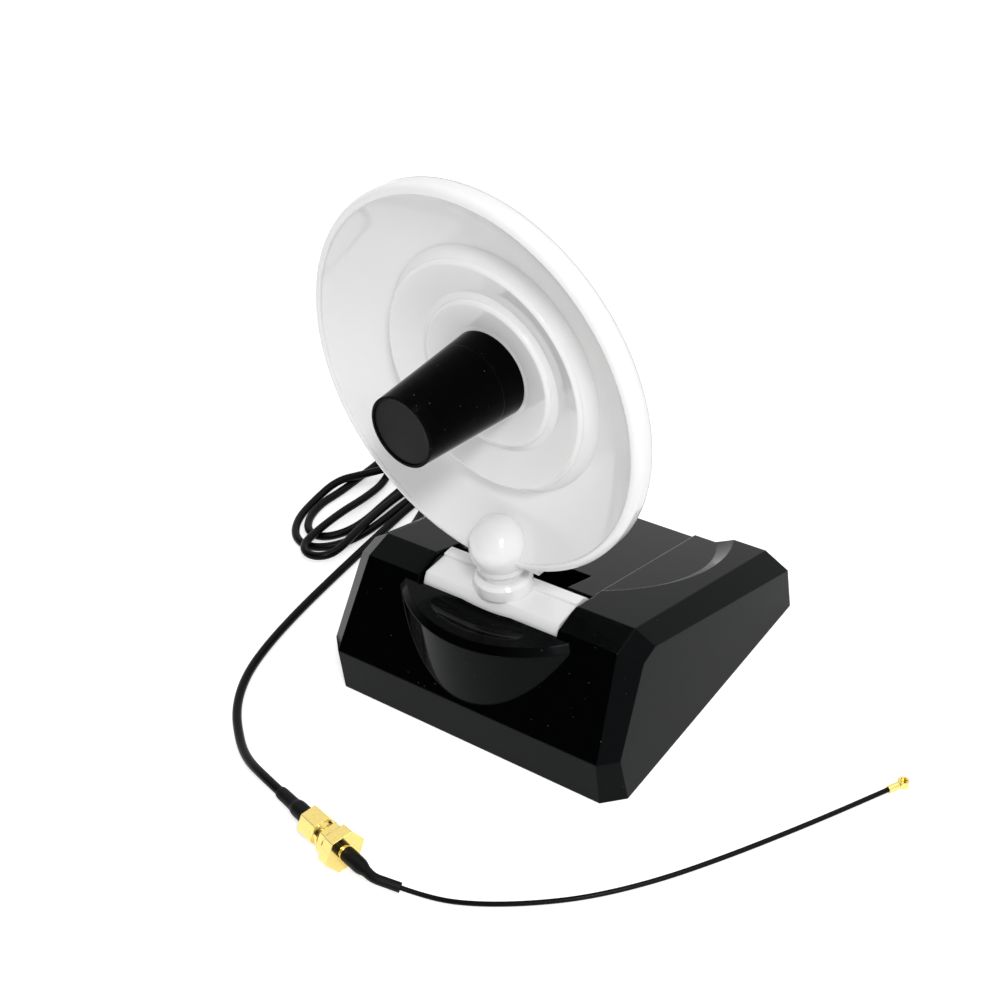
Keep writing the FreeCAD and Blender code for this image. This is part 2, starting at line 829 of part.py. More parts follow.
def feed_nut():
    """Ring nut that clamps the feed and the reflector plate to the dish's face."""
    top = face_inside + reflector_thickness
    nut = dish_post(O, feed_nut_radius, top, top + feed_nut_thickness)
    return nut.cut(dish_post(O, feed_spigot_radius + running_gap, top, top + feed_nut_thickness))


def feed_board():
    """Small round circuit board on the spigot's rear end."""
    return dish_post(O, feed_board_radius, spigot_end, spigot_end + feed_board_thickness)


def feed_stem():
    """Brass stem that stands on the board and carries the driven element."""
    stem = Part.makeCylinder(feed_stem_radius, spigot_end + feed_stem_tip, -Z * spigot_end)
    return placed(stem, dish_place)


def driven_element():
    """Copper disc on the stem's end."""
    return placed(Part.makeCylinder(element_radius, element_thickness, Z * feed_stem_tip), dish_place)


def reflector_plate():
    """Flat metal disc behind the dish's face, clear of the screw posts."""
    low = face_inside + reflector_thickness
    plate = dish_post(O, reflector_radius, face_inside, low)
    plate = plate.cut(dish_post(O, feed_spigot_radius + running_gap, face_inside, low))
    for place in dish_screw_places():
        plate = plate.cut(dish_post(place, boss_radius + seat_gap, face_inside, low))
    return plate


# Cord and leads

def tube(name, points, radius):
    """Tube along straight runs joined by tangent arcs as large as the runs allow."""
    edges = []
    radii = []
    here = points[0]
    for before, corner, after in zip(points, points[1:], points[2:]):
        into = (corner - before).normalize()
        away = (after - corner).normalize()
        half_turn = into.getAngle(away) / 2
        trim = 0.45 * min((corner - before).Length, (after - corner).Length)
        radii.append(trim / math.tan(half_turn))
        start = corner - into * trim
        end = corner + away * trim
        middle = arc_middle(start, corner, end)
        edges.append(Part.LineSegment(here, start).toShape())
        edges.append(Part.Arc(start, middle, end).toShape())
        here = end
    edges.append(Part.LineSegment(here, points[-1]).toShape())
    path = Part.Wire(edges)
    section = Part.Wire(Part.makeCircle(radius, points[0], points[1] - points[0]))
    solid = path.makePipeShell([section], True, True)
    expected = math.pi * radius ** 2 * path.Length
    print(f"{name}: length {path.Length:.1f}, volume share {solid.Volume / expected:.4f},",
          "radii", " ".join(f"{r:.0f}" for r in radii))
    return solid


def arc_middle(start, corner, end):
    """Middle of the arc that touches both runs of a corner at its start and end."""
    chord = (start + end) * 0.5
    to_corner = corner - chord
    half = (end - start).Length / 2
    side = (corner - start).Length
    sagitta = half * (side - half) / to_corner.Length
    return chord + to_corner.normalize() * sagitta


def dish_lead_route():
    """Way of the lead from the feed's board, behind the face and down through the hub and stem."""
    behind = spigot_end + feed_board_thickness / 2 + inner_lead_radius
    local = [
        V(0, -feed_board_radius - 3 * seat_gap, -behind),
        V(0, -bowl_foot_radius, -lead_foot_drop),
        V(0, lead_bend_inset - dish_radius, -lead_bend_drop),
    ]
    down = [V(0, hinge_y, dome_z + lead_hub_rise), V(0, hinge_y, hinge_z + lead_break)]
    return [dish_place.multVec(p) for p in local] + down


def cable_outlet():
    """Rubber strain relief moulded on the cord, through the housing's left wall."""
    wall_x = -side_x(outlet_z - outlet_flange_radius)
    axis = V(0, outlet_y, outlet_z)
    body_start = axis + X * wall_x
    inner = base_wall + outlet_tail
    body = Part.makeCylinder(outlet_radius, inner, body_start, X)
    flange = Part.makeCylinder(outlet_flange_radius, outlet_flange, body_start, X * -1)
    nose_start = body_start - X * outlet_flange
    nose = Part.makeCone(outlet_radius, outlet_nose_radius, outlet_nose, nose_start, X * -1)
    return fuse([body, flange, nose])


def stadium(width, length, height):
    """Flat slab with round ends along Y, centred on the coil."""
    radius = width / 2
    reach = (length - width) / 2
    center = V(coil_x, coil_y, 0)
    ends = [Part.makeCylinder(radius, height, center + V(0, s * reach, 0)) for s in (-1, 1)]
    middle = box(center - V(radius, reach, 0), center + V(radius, reach, height))
    return fuse(ends + [middle])


def cord_coil():
    """Outer form of the cord's loose loops, as they lie beside the base."""
    outer = stadium(coil_width, coil_length, coil_height)
    inner = stadium(coil_width - 2 * coil_band, coil_length - 2 * coil_band, coil_height)
    return outer.cut(inner)


# Screw connector

def rod(radius, start, end):
    """Cylinder along the connector's axis."""
    return Part.makeCylinder(radius, end - start, X * start, X)


def hexagon(flats, start, end):
    """Hexagonal bar along the connector's axis, with a flat face down."""
    corner = flats / math.sqrt(3)
    turns = [math.radians(60 * i) for i in range(7)]
    points = [V(start, corner * math.cos(a), corner * math.sin(a)) for a in turns]
    return Part.Face(Part.makePolygon(points)).extrude(X * (end - start))


def connector_boot():
    """Shrunk sleeve over the cord's end and the crimp ferrule."""
    taper = Part.makeCone(boot_tip_radius, boot_radius, boot_length, O, X)
    return fuse([taper, rod(ferrule_radius, boot_length, ferrule_end)])


def coupling_nut():
    """Hexagonal coupling nut with a round lip, hollow for the jack's thread."""
    nut = fuse([
        hexagon(coupling_flats, coupling_start, coupling_hex_end),
        rod(coupling_lip_radius, coupling_hex_end, coupling_end),
    ])
    nut = nut.cut(rod(plug_radius + thread_gap, coupling_start, coupling_end))
    return nut.cut(rod(thread_radius + thread_gap, coupling_start + coupling_floor, coupling_end))


def plug_body():
    """Plug inside the coupling nut, with the flange that the nut pulls on."""
    flange_at = coupling_start + coupling_floor
    return fuse([
        rod(plug_radius, ferrule_end, coupling_end - thread_gap),
        rod(plug_flange_radius, flange_at, flange_at + plug_flange),
    ])


def jack_body():
    """Bulkhead jack: threaded barrel, hexagonal flange and crimp barrel."""
    mouth = coupling_start + coupling_floor + plug_flange + thread_gap
    jack = fuse([
        rod(thread_radius, mouth, flange_start),
        hexagon(flange_flats, flange_start, flange_start + flange_thickness),
        rod(barrel_radius, flange_start, barrel_end),
    ])
    return jack.cut(rod(plug_radius + thread_gap, mouth, mouth + jack_bore_depth))


def lock_washer():
    """Washer against the jack's flange."""
    start = flange_start - lock_washer_thickness
    disc = rod(lock_washer_radius, start, flange_start)
    return disc.cut(rod(thread_radius + thread_gap, start, flange_start))


def panel_nut():
    """Thin hexagonal nut on the jack's thread."""
    end = flange_start - lock_washer_thickness
    start = end - panel_nut_thickness
    return hexagon(panel_nut_flats, start, end).cut(rod(thread_radius + thread_gap, start, end))


def pigtail_tail():
    """Thick shrunk sleeve over the jack's crimp barrel."""
    start = flange_start + flange_thickness
    return rod(tail_radius, start, tail_end).cut(rod(barrel_radius + running_gap, start, barrel_end))


def snap_connector():
    """Tiny right-angle snap connector: a crimp barrel, a neck and a round cap that opens upwards."""
    end = pigtail_route[-1]
    heading = end - pigtail_route[-2]
    turn = math.degrees(math.atan2(heading.y, heading.x))
    barrel = rod(snap_barrel_radius, 0, snap_barrel_length)
    floor = -snap_barrel_radius
    neck = box(V(0, -snap_neck / 2, floor), V(snap_cap_center, snap_neck / 2, 0))
    cap = Part.makeCylinder(snap_cap_radius, snap_cap_height, V(snap_cap_center, 0, floor))
    bore_floor = floor + snap_cap_height - snap_bore_depth
    bore = Part.makeCylinder(snap_bore, snap_bore_depth, V(snap_cap_center, 0, bore_floor))
    snap = fuse([barrel, neck, cap]).cut(bore)
    return placed(snap, FreeCAD.Placement(end, FreeCAD.Rotation(Z, turn)))


def on_connector(along):
    """Point on the connector's axis."""
    return connector_place.multVec(X * along)


def outlet_end(outwards):
    """Point on the outlet's axis at its nose or its tail."""
    wall_x = side_x(outlet_z - outlet_flange_radius)
    reach = wall_x + outlet_flange + outlet_nose if outwards else wall_x - base_wall - outlet_tail
    return V(-reach, outlet_y, outlet_z)


def build():
    """Every node of the part, by name."""
    shell = dish_shell()
    dish = {
        "swivel_stem": swivel_stem(),
        "swivel_nut": swivel_nut(),
        "dish_front": dish_front(shell),
        "dish_back": dish_back(shell),
        "dish_screws": dish_screws(),
        "reflector_plate": reflector_plate(),
        "feed_collar": feed_collar(),
        "feed_housing": feed_housing(),
        "feed_cap": feed_cap(),
        "feed_nut": feed_nut(),
        "feed_board": feed_board(),
        "feed_stem": feed_stem(),
        "driven_element": driven_element(),
        "dish_lead": tube("dish_lead", dish_lead_route(), inner_lead_radius),
    }
    connector = {
        "connector_boot": connector_boot(),
        "coupling_nut": coupling_nut(),
        "plug_body": plug_body(),
        "jack_body": jack_body(),
        "lock_washer": lock_washer(),
        "panel_nut": panel_nut(),
        "pigtail_tail": pigtail_tail(),
    }
    corner = on_connector(sleeve_corner)
    sleeve_end = corner + (pigtail_route[0] - corner) * sleeve_share
    sleeve = [on_connector(tail_end), corner, sleeve_end]
    run = run_route + [on_connector(-cord_straight), on_connector(0)]
    nodes = {
        "base_shell": base_shell(),
        "base_plate": base_plate(),
        "base_screws": base_screws(),
        "base_feet": base_feet(),
        "hinge_pins": hinge_pins(),
        "friction_washers": friction_washers(),
        "hinge_bar": hinge_bar(),
        "swivel_washer": swivel_washer(),
        "spring_washer": spring_washer(),
        "base_lead": tube("base_lead", base_lead_route + [outlet_end(False)], inner_lead_radius),
        "cable_outlet": cable_outlet(),
        "cord_lead_in": tube("cord_lead_in", [outlet_end(True)] + lead_in_route, cord_radius),
        "cord_coil": cord_coil(),
        "cord_run": tube("cord_run", run, cord_radius),
        "pigtail_sleeve": tube("pigtail_sleeve", sleeve, sleeve_radius),
        "pigtail_cord": tube("pigtail_cord", [sleeve_end] + pigtail_route, pigtail_radius),
        "snap_connector": snap_connector(),
    }
    for name, shape in dish.items():
        nodes[name] = placed(shape, swivel_place)
    for name, shape in connector.items():
        nodes[name] = placed(shape, connector_place)
    return nodes


os.makedirs("parts", exist_ok=True)
for node, shape in build().items():
    shape.exportStep(f"parts/{node}.step")
    print(node, "valid" if shape.isValid() else "INVALID", len(shape.Solids), round(shape.Volume, 2))
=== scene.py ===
import math

import bpy
from mathutils import Matrix, Vector


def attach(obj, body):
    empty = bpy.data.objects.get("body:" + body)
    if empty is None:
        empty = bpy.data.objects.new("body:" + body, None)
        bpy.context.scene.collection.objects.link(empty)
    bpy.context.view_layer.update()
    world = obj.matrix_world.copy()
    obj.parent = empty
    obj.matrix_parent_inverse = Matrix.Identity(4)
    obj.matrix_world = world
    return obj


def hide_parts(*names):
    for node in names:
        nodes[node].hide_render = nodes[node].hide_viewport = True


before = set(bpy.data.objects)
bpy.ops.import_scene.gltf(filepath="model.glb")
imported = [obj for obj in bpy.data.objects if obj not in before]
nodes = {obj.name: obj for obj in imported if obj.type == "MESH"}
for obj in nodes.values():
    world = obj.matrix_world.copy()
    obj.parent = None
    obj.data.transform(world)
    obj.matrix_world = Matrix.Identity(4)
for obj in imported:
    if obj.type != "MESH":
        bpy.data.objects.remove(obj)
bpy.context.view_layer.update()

# Viewpoint
# The antenna is seen from its right front and above, with the camera rolled a little,
# through a lens of short telephoto length.
view_azimuth = math.radians(40.58)
view_elevation = math.radians(35.88)
view_roll = math.radians(-7.19)
view_place = Vector((0.2241, -0.2826, 0.3175))
level_right = Vector((math.cos(view_azimuth), math.sin(view_azimuth), 0))
view_back = Vector((
    math.sin(view_azimuth) * math.cos(view_elevation),
    -math.cos(view_azimuth) * math.cos(view_elevation),
    math.sin(view_elevation),
))
level_up = view_back.cross(level_right)
view_right = math.cos(view_roll) * level_right + math.sin(view_roll) * level_up
view_up = math.cos(view_roll) * level_up - math.sin(view_roll) * level_right
camera = bpy.data.objects.new("viewpoint", bpy.data.cameras.new("viewpoint"))
camera.data.lens = 55.76
camera.data.sensor_width = 36
camera.matrix_world = (
    Matrix.Translation(view_place)
    @ Matrix((view_right, view_up, view_back)).transposed().to_4x4()
)
bpy.context.scene.collection.objects.link(camera)
bpy.context.scene.camera = camera
bpy.context.scene.view_settings.view_transform = "Standard"

# Base shell
# The wedge housing is one moulding of polished black plastic. It stands on the table on its
# own flat rim, and it gathers dust and lint, which show as pale specks.


def new_finish(name):
    """A material with its node tree, its Principled shader and its Object coordinates."""
    material = bpy.data.materials.new(name)
    material.use_nodes = True
    tree = material.node_tree
    place = tree.nodes.new("ShaderNodeTexCoord").outputs["Object"]
    return material, tree, tree.nodes["Principled BSDF"], place


def effect_group(name, inputs, output):
    """A shader node group with named inputs, their values, and one output."""
    group = bpy.data.node_groups.new(name, "ShaderNodeTree")
    for label, value in inputs.items():
        kind = "NodeSocketVector" if value is None else "NodeSocketFloat"
        socket = group.interface.new_socket(label, in_out="INPUT", socket_type=kind)
        if value is not None:
            socket.default_value = value
    group.interface.new_socket(output, in_out="OUTPUT", socket_type="NodeSocketFloat")
    return group, group.nodes.new("NodeGroupInput"), group.nodes.new("NodeGroupOutput")


def add(tree, kind, links=None, **values):
    """A node with its properties and inputs set, and its inputs linked by name."""
    node = tree.nodes.new(kind)
    for name, value in values.items():
        setattr(node, name, value)
    for name, value in (links or {}).items():
        if isinstance(value, bpy.types.NodeSocket):
            tree.links.new(value, node.inputs[name])
        else:
            node.inputs[name].default_value = value
    return node


# Specks of dust: round cells of random size, of which only a share holds a speck.
dust_specks, dust_in, dust_out = effect_group(
    "dust_specks", {"Vector": None, "Scale": 300.0, "Share": 0.1, "Size": 0.08}, "Mask")
dust_cells = add(dust_specks, "ShaderNodeTexVoronoi", {
    "Vector": dust_in.outputs["Vector"], "Scale": dust_in.outputs["Scale"]})
dust_pick = add(dust_specks, "ShaderNodeSeparateColor", {"Color": dust_cells.outputs["Color"]})
dust_chosen = add(dust_specks, "ShaderNodeMath", {
    0: dust_pick.outputs["Red"], 1: dust_in.outputs["Share"]}, operation="LESS_THAN")
dust_radius = add(dust_specks, "ShaderNodeMath", {
    0: dust_in.outputs["Size"], 1: dust_pick.outputs["Green"]}, operation="MULTIPLY")
dust_round = add(dust_specks, "ShaderNodeMath", {
    0: dust_cells.outputs["Distance"], 1: dust_radius.outputs["Value"]}, operation="LESS_THAN")
dust_mask = add(dust_specks, "ShaderNodeMath", {
    0: dust_round.outputs["Value"], 1: dust_chosen.outputs["Value"]}, operation="MULTIPLY")
dust_specks.links.new(dust_mask.outputs["Value"], dust_out.inputs["Mask"])

# Haze of handling: slow changes of gloss over the surface.
gloss_haze, haze_in, haze_out = effect_group(
    "gloss_haze", {"Vector": None, "Scale": 60.0, "Low": 0.08, "High": 0.2}, "Roughness")
noise_low, noise_high = 0.3, 0.7
haze_noise = add(gloss_haze, "ShaderNodeTexNoise", {
    "Vector": haze_in.outputs["Vector"], "Scale": haze_in.outputs["Scale"], "Detail": 5.0})
haze_range = add(gloss_haze, "ShaderNodeMapRange", {
    "Value": haze_noise.outputs["Fac"], "From Min": noise_low, "From Max": noise_high,
    "To Min": haze_in.outputs["Low"], "To Max": haze_in.outputs["High"]})
gloss_haze.links.new(haze_range.outputs["Result"], haze_out.inputs["Roughness"])

# Moulded skin: a fine grain over the slow waves that cooling leaves in a wall.
moulded_skin, skin_in, skin_out = effect_group(
    "moulded_skin", {"Vector": None, "Grain": 2500.0, "Wave": 70.0, "Wave Share": 0.8}, "Height")
skin_grain = add(moulded_skin, "ShaderNodeTexNoise", {
    "Vector": skin_in.outputs["Vector"], "Scale": skin_in.outputs["Grain"], "Detail": 2.0})
skin_wave = add(moulded_skin, "ShaderNodeTexNoise", {
    "Vector": skin_in.outputs["Vector"], "Scale": skin_in.outputs["Wave"], "Detail": 1.0})
skin_mix = add(moulded_skin, "ShaderNodeMix", {
    "Factor": skin_in.outputs["Wave Share"], "A": skin_grain.outputs["Fac"],
    "B": skin_wave.outputs["Fac"]})
moulded_skin.links.new(skin_mix.outputs["Result"], skin_out.inputs["Height"])


def mix_colour(tree, mask, low, high):
    """A colour that goes from low to high with the mask."""
    node = add(tree, "ShaderNodeMix", {"Factor": mask}, data_type="RGBA")
    low_socket, high_socket = [
        socket for socket in node.inputs if socket.type == "RGBA" and socket.name in ("A", "B")]
    low_socket.default_value = (*low, 1)
    high_socket.default_value = (*high, 1)
    return next(socket for socket in node.outputs if socket.type == "RGBA")


def moulded_plastic(
        name, colour, dust, gloss, wave, speck_share=0.05, speck_size=0.09, speck_scale=320.0,
        bump=0.02, specular=0.5, edge_round=0.0004, sheen_tint=(1, 1, 1)):
    """Polished or matte moulded plastic with haze, skin and specks of dust."""
    skin_depth = 0.001
    dust_roughness = 0.8
    material, tree, shader, place = new_finish(name)
    specks = add(tree, "ShaderNodeGroup", node_tree=dust_specks)
    tree.links.new(place, specks.inputs["Vector"])
    specks.inputs["Scale"].default_value = speck_scale
    specks.inputs["Share"].default_value = speck_share
    specks.inputs["Size"].default_value = speck_size
    haze = add(tree, "ShaderNodeGroup", node_tree=gloss_haze)
    tree.links.new(place, haze.inputs["Vector"])
    haze.inputs["Low"].default_value, haze.inputs["High"].default_value = gloss
    skin = add(tree, "ShaderNodeGroup", node_tree=moulded_skin)
    tree.links.new(place, skin.inputs["Vector"])
    skin.inputs["Wave Share"].default_value = wave
    edge = add(tree, "ShaderNodeBevel", {"Radius": edge_round}, samples=6)
    relief = add(tree, "ShaderNodeBump", {
        "Height": skin.outputs["Height"], "Strength": bump, "Distance": skin_depth,
        "Normal": edge.outputs["Normal"]})
    dusted = mix_colour(tree, specks.outputs["Mask"], colour, dust)
    tree.links.new(dusted, shader.inputs["Base Color"])
    dulled = add(tree, "ShaderNodeMix", {
        "Factor": specks.outputs["Mask"], "A": haze.outputs["Roughness"], "B": dust_roughness})
    tree.links.new(dulled.outputs["Result"], shader.inputs["Roughness"])
    tree.links.new(relief.outputs["Normal"], shader.inputs["Normal"])
    shader.inputs["Specular IOR Level"].default_value = specular
    shader.inputs["Specular Tint"].default_value = (*sheen_tint, 1)
    return material


def paint(material, *names):
    """These nodes of the frame take this material."""
    for name in names:
        nodes[name].data.materials.clear()
        nodes[name].data.materials.append(material)


black_gloss = moulded_plastic(
    "black_gloss", colour=(0.0007, 0.0008, 0.001), dust=(0.09, 0.088, 0.085), gloss=(0.06, 0.14),
    wave=0.9, speck_share=0.18, speck_size=0.12, speck_scale=900.0, specular=0.06,
    edge_round=0.0006, sheen_tint=(0.9, 0.99, 1.0))
paint(black_gloss, "base_shell")

# Base plate, screws and feet
# The plate closes the shell from below. Four self-tapping screws hold it, and four rubber pads
# lie in its recesses.
black_matte = moulded_plastic(
    "black_matte", colour=(0.003, 0.0032, 0.0034), dust=(0.05, 0.05, 0.05), gloss=(0.34, 0.5),
    wave=0.3, bump=0.12, specular=0.09)
paint(black_matte, "base_plate")


def plated_metal(name, colour, gloss):
    """Plated or bare metal with fine scratches and changes of gloss."""
    scratch_scale = 900.0
    scratch_depth = 0.0005
    scratch_tone = 0.86
    edge_round = 0.0003
    material, tree, shader, place = new_finish(name)
    haze = add(tree, "ShaderNodeGroup", node_tree=gloss_haze)
    tree.links.new(place, haze.inputs["Vector"])
    haze.inputs["Scale"].default_value = 400.0
    haze.inputs["Low"].default_value, haze.inputs["High"].default_value = gloss
    tree.links.new(haze.outputs["Roughness"], shader.inputs["Roughness"])
    marks = add(tree, "ShaderNodeTexNoise", {
        "Vector": place, "Scale": scratch_scale, "Detail": 3.0})
    worn = [scratch_tone * part for part in colour]
    tint = mix_colour(tree, marks.outputs["Fac"], worn, colour)
    tree.links.new(tint, shader.inputs["Base Color"])
    edge = add(tree, "ShaderNodeBevel", {"Radius": edge_round}, samples=6)
    relief = add(tree, "ShaderNodeBump", {
        "Height": marks.outputs["Fac"], "Strength": 0.04, "Distance": scratch_depth,
        "Normal": edge.outputs["Normal"]})
    tree.links.new(relief.outputs["Normal"], shader.inputs["Normal"])
    shader.inputs["Metallic"].default_value = 1.0
    return material


steel = plated_metal("steel", colour=(0.62, 0.62, 0.63), gloss=(0.22, 0.4))
paint(steel, "base_screws")
rubber_black = moulded_plastic(
    "rubber_black", colour=(0.014, 0.014, 0.014), dust=(0.06, 0.06, 0.06), gloss=(0.6, 0.8),
    wave=0.2, bump=0.2, specular=0.3)
paint(rubber_black, "base_feet")

# Hinge bar, its pins and friction washers
# The bar is a moulding of white, slightly translucent plastic with a flat top. It turns on two
# steel pins against friction washers, which hold the dish at its angle.
white_gloss = moulded_plastic(
    "white_gloss", colour=(0.87, 0.87, 0.868), dust=(0.55, 0.5, 0.45), gloss=(0.05, 0.11),
    wave=0.85, speck_share=0.02, speck_size=0.06)
white_shader = white_gloss.node_tree.nodes["Principled BSDF"]
white_shader.inputs["Subsurface Weight"].default_value = 0.4
white_shader.inputs["Subsurface Radius"].default_value = (1.0, 1.0, 1.0)
white_shader.inputs["Subsurface Scale"].default_value = 0.0025
paint(white_gloss, "hinge_bar")
paint(steel, "hinge_pins")
paint(rubber_black, "friction_washers")

# Swivel
# The dish turns on a white stem through the bar, with a slip washer above it and a spring
# washer and a nut below.
white_washer = moulded_plastic(
    "white_washer", colour=(0.8, 0.8, 0.79), dust=(0.5, 0.47, 0.42), gloss=(0.35, 0.5),
    wave=0.3, bump=0.05)
paint(white_gloss, "swivel_stem")
paint(white_washer, "swivel_washer")
paint(steel, "spring_washer", "swivel_nut")

# Dish
# The dish is two white polished mouldings, front and back, joined at the rim and screwed
# together from behind. Its front steps inwards in two rings to the seat of the feed.
paint(white_gloss, "dish_front", "dish_back")
paint(steel, "dish_screws")

# Reflector and feed
# A metal plate lies inside the dish. The feed in front of it is a tapered black housing on a
# collar, with a matte cap in its end and the driven disc inside.
aluminium_plate = plated_metal("aluminium_plate", colour=(0.75, 0.75, 0.76), gloss=(0.25, 0.4))
brass_plain = plated_metal("brass_plain", colour=(0.72, 0.53, 0.25), gloss=(0.2, 0.35))
copper_plate = plated_metal("copper_plate", colour=(0.72, 0.4, 0.25), gloss=(0.2, 0.35))
board_green = moulded_plastic(
    "board_green", colour=(0.05, 0.2, 0.09), dust=(0.3, 0.28, 0.2), gloss=(0.3, 0.45),
    wave=0.2, bump=0.05)
paint(aluminium_plate, "reflector_plate")
feed_black = moulded_plastic(
    "feed_black", colour=(0.0006, 0.0006, 0.0007), dust=(0.25, 0.24, 0.22), gloss=(0.08, 0.16),
    wave=0.8, speck_share=0.12, speck_size=0.13, speck_scale=1300.0, specular=0.03,
    edge_round=0.0005)
paint(feed_black, "feed_collar", "feed_housing")
paint(black_matte, "feed_cap")
paint(steel, "feed_nut")
paint(board_green, "feed_board")
paint(brass_plain, "feed_stem")
paint(copper_plate, "driven_element")

# Inner leads and outlet
# A thin coax runs from the feed's board through the hinge bar to the outlet in the base's
# left wall, which is a rubber strain relief.
cord_jacket = moulded_plastic(
    "cord_jacket", colour=(0.0015, 0.0016, 0.0017), dust=(0.03, 0.03, 0.03), gloss=(0.28, 0.4),
    wave=0.3, bump=0.05, specular=0.1)
paint(cord_jacket, "dish_lead", "base_lead")
paint(rubber_black, "cable_outlet")

# Antenna cord
# The cord is a limp black coax. It leaves the base's left side, lies there in three loose loops
# and runs round the front to the screw connector. Its points are in millimetres.
MM = 0.001
cord_diameter = 0.0028
floor_level = 1.45
crossing_level = 4.6
lead_in = [
    (-60.06, 14.5, 6.6), (-67.5, 14.5, 6.6), (-75, 18.6, 3.6), (-79, 27.5, floor_level),
    (-81.2, 36, 2.6),
]
turn_back = [
    (-92.05, 42, floor_level), (-92.1, 50, floor_level), (-92.3, 57, 3.4),
    (-91.6, 64.5, crossing_level), (-87.4, 71.2, crossing_level), (-81, 71.4, 3.8),
    (-77.4, 64, 2.4), (-79, 55, floor_level), (-82.6, 47, floor_level),
]
run = [
    (-85.4, 39, floor_level), (-86, 30, floor_level), (-85.4, 18, floor_level),
    (-84.6, 4, floor_level), (-83.6, -13, floor_level), (-82.2, -31, floor_level),
    (-79.6, -49, floor_level), (-75.6, -63, floor_level), (-68.2, -75, floor_level),
    (-57.4, -84.4, 1.6), (-48, -90.2, 3.4), (-37.18, -93.87, 5.55), (-28.8, -95.8, 5.55),
]


def bow(centre, half_width, half_length, start, end, count, level):
    """Points on a round end of a loop, from one angle to another, at one level."""
    turns = [math.radians(start + (end - start) * i / (count - 1)) for i in range(count)]
    return [
        (centre[0] + half_width * math.cos(t), centre[1] + half_length * math.sin(t), level)
        for t in turns]


# Each loop: far end, left side, near end, right side.
loops = [
    (((-95, 39.5), 10.6, 9.5, 10, 170, 5, crossing_level),
     [(-110.6, 34.4, crossing_level), (-116.8, 27.75, 4.2)],
     ((-104, 17), 14.8, 21.5, 180, 360, 7, floor_level), [(-89, 30, floor_level)]),
    (((-100.4, 52), 13, 11.5, 0, 170, 5, floor_level), [(-113.4, 40, floor_level)],
     ((-104.9, 17.5), 10.4, 16, 150, 360, 8, floor_level), [(-95.2, 29, floor_level)]),
    (((-102.4, 50), 7.2, 8.5, 0, 180, 5, floor_level),
     [(-103.4, 38.5, 1.55), (-102.4, 27, 2.4), (-102.8, 13, 4.2)],
     ((-95.6, -3.2), 6.9, 7.2, 180, 360, 5, crossing_level),
     [(-90.3, 8, crossing_level), (-92, 20, 3.4), (-92.1, 33, 3)]),
]
route = list(lead_in)
for far_end, left_side, near_end, right_side in loops:
    route += bow(*far_end) + left_side + bow(*near_end) + right_side
route += turn_back + run


def laid_line(name, stations, thickness, rounding, material):
    """A round tube along a smooth line. Each station is a point and its share of thickness."""
    line = bpy.data.curves.new(name, "CURVE")
    line.dimensions = "3D"
    spline = line.splines.new("NURBS")
    spline.points.add(len(stations) - 1)
    for control, (point, share) in zip(spline.points, stations):
        control.co = (*(MM * value for value in point), 1)
        control.radius = share
    spline.order_u = 3
    spline.use_endpoint_u = True
    spline.resolution_u = 8
    line.bevel_depth = thickness
    line.bevel_resolution = rounding
    line.materials.append(material)
    tube = bpy.data.objects.new(name, line)
    bpy.context.scene.collection.objects.link(tube)
    return tube


def laid_cord(name, points, diameter):
    """A cord of one thickness, in the jacket's plastic, along these control points."""
    stations = [(point, 1.0) for point in points]
    return laid_line(name, stations, thickness=diameter / 2, rounding=6, material=cord_jacket)


antenna_cord = laid_cord("antenna_cord", route, cord_diameter)
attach(antenna_cord, "base")
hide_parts("cord_lead_in", "cord_coil", "cord_run")

# Screw connector
# The cord ends in a gold-plated screw plug with a shrunk boot. A threaded jack with a lock washer
# and a panel nut is screwed into it, and a shrunk tail covers the jack's crimp.
gold_plated = plated_metal("gold_plated", colour=(0.94, 0.74, 0.25), gloss=(0.1, 0.2))
shrink_sleeve = moulded_plastic(
    "shrink_sleeve", colour=(0.0045, 0.0045, 0.0047), dust=(0.05, 0.05, 0.05), gloss=(0.4, 0.55),
    wave=0.5, bump=0.1, specular=0.12)
paint(
    gold_plated, "coupling_nut", "plug_body", "jack_body", "lock_washer", "panel_nut",
    "snap_connector")
connector_end = run[-1]
connector_turn = math.radians(-13)


def along_connector(reach):
    """The point this many millimetres along the connector's axis, from the cord's end."""
    return (connector_end[0] + reach * math.cos(connector_turn),
            connector_end[1] + reach * math.sin(connector_turn), connector_end[2])


def shrunk_tube(name, stations):
    """A shrunk sleeve along these points, each with its radius, in millimetres."""
    tube = laid_line(name, stations, thickness=MM, rounding=7, material=shrink_sleeve)
    tube.data.use_fill_caps = True
    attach(tube, "base")
    return tube


# Each profile gives radii at distances along the connector's axis.
boot_profile = [
    (-0.3, 1.75), (0.2, 1.9), (3, 1.9), (6, 1.95), (7, 2.05), (7.8, 2.4), (9, 2.5), (11.5, 2.45),
    (14.2, 2.5),
]
boot = shrunk_tube(
    "shrunk_boot", [(along_connector(reach), radius) for reach, radius in boot_profile])
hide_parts("connector_boot")
tail_profile = [
    (31.2, 2.2), (32, 2.25), (35, 2.2), (37.4, 2.2), (38.6, 1.9), (39.8, 1.5), (43, 1.4),
]
tail_stations = [(along_connector(reach), radius) for reach, radius in tail_profile]
tail_bend = tail_stations[-1][0]
sleeve_end = (19.87, -102.9, 3.32)
sleeve_middle = [(a + b) / 2 for a, b in zip(tail_bend, sleeve_end)]
tail = shrunk_tube("shrunk_tail", tail_stations + [(sleeve_middle, 1.4), (sleeve_end, 1.42)])
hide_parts("pigtail_tail", "pigtail_sleeve")

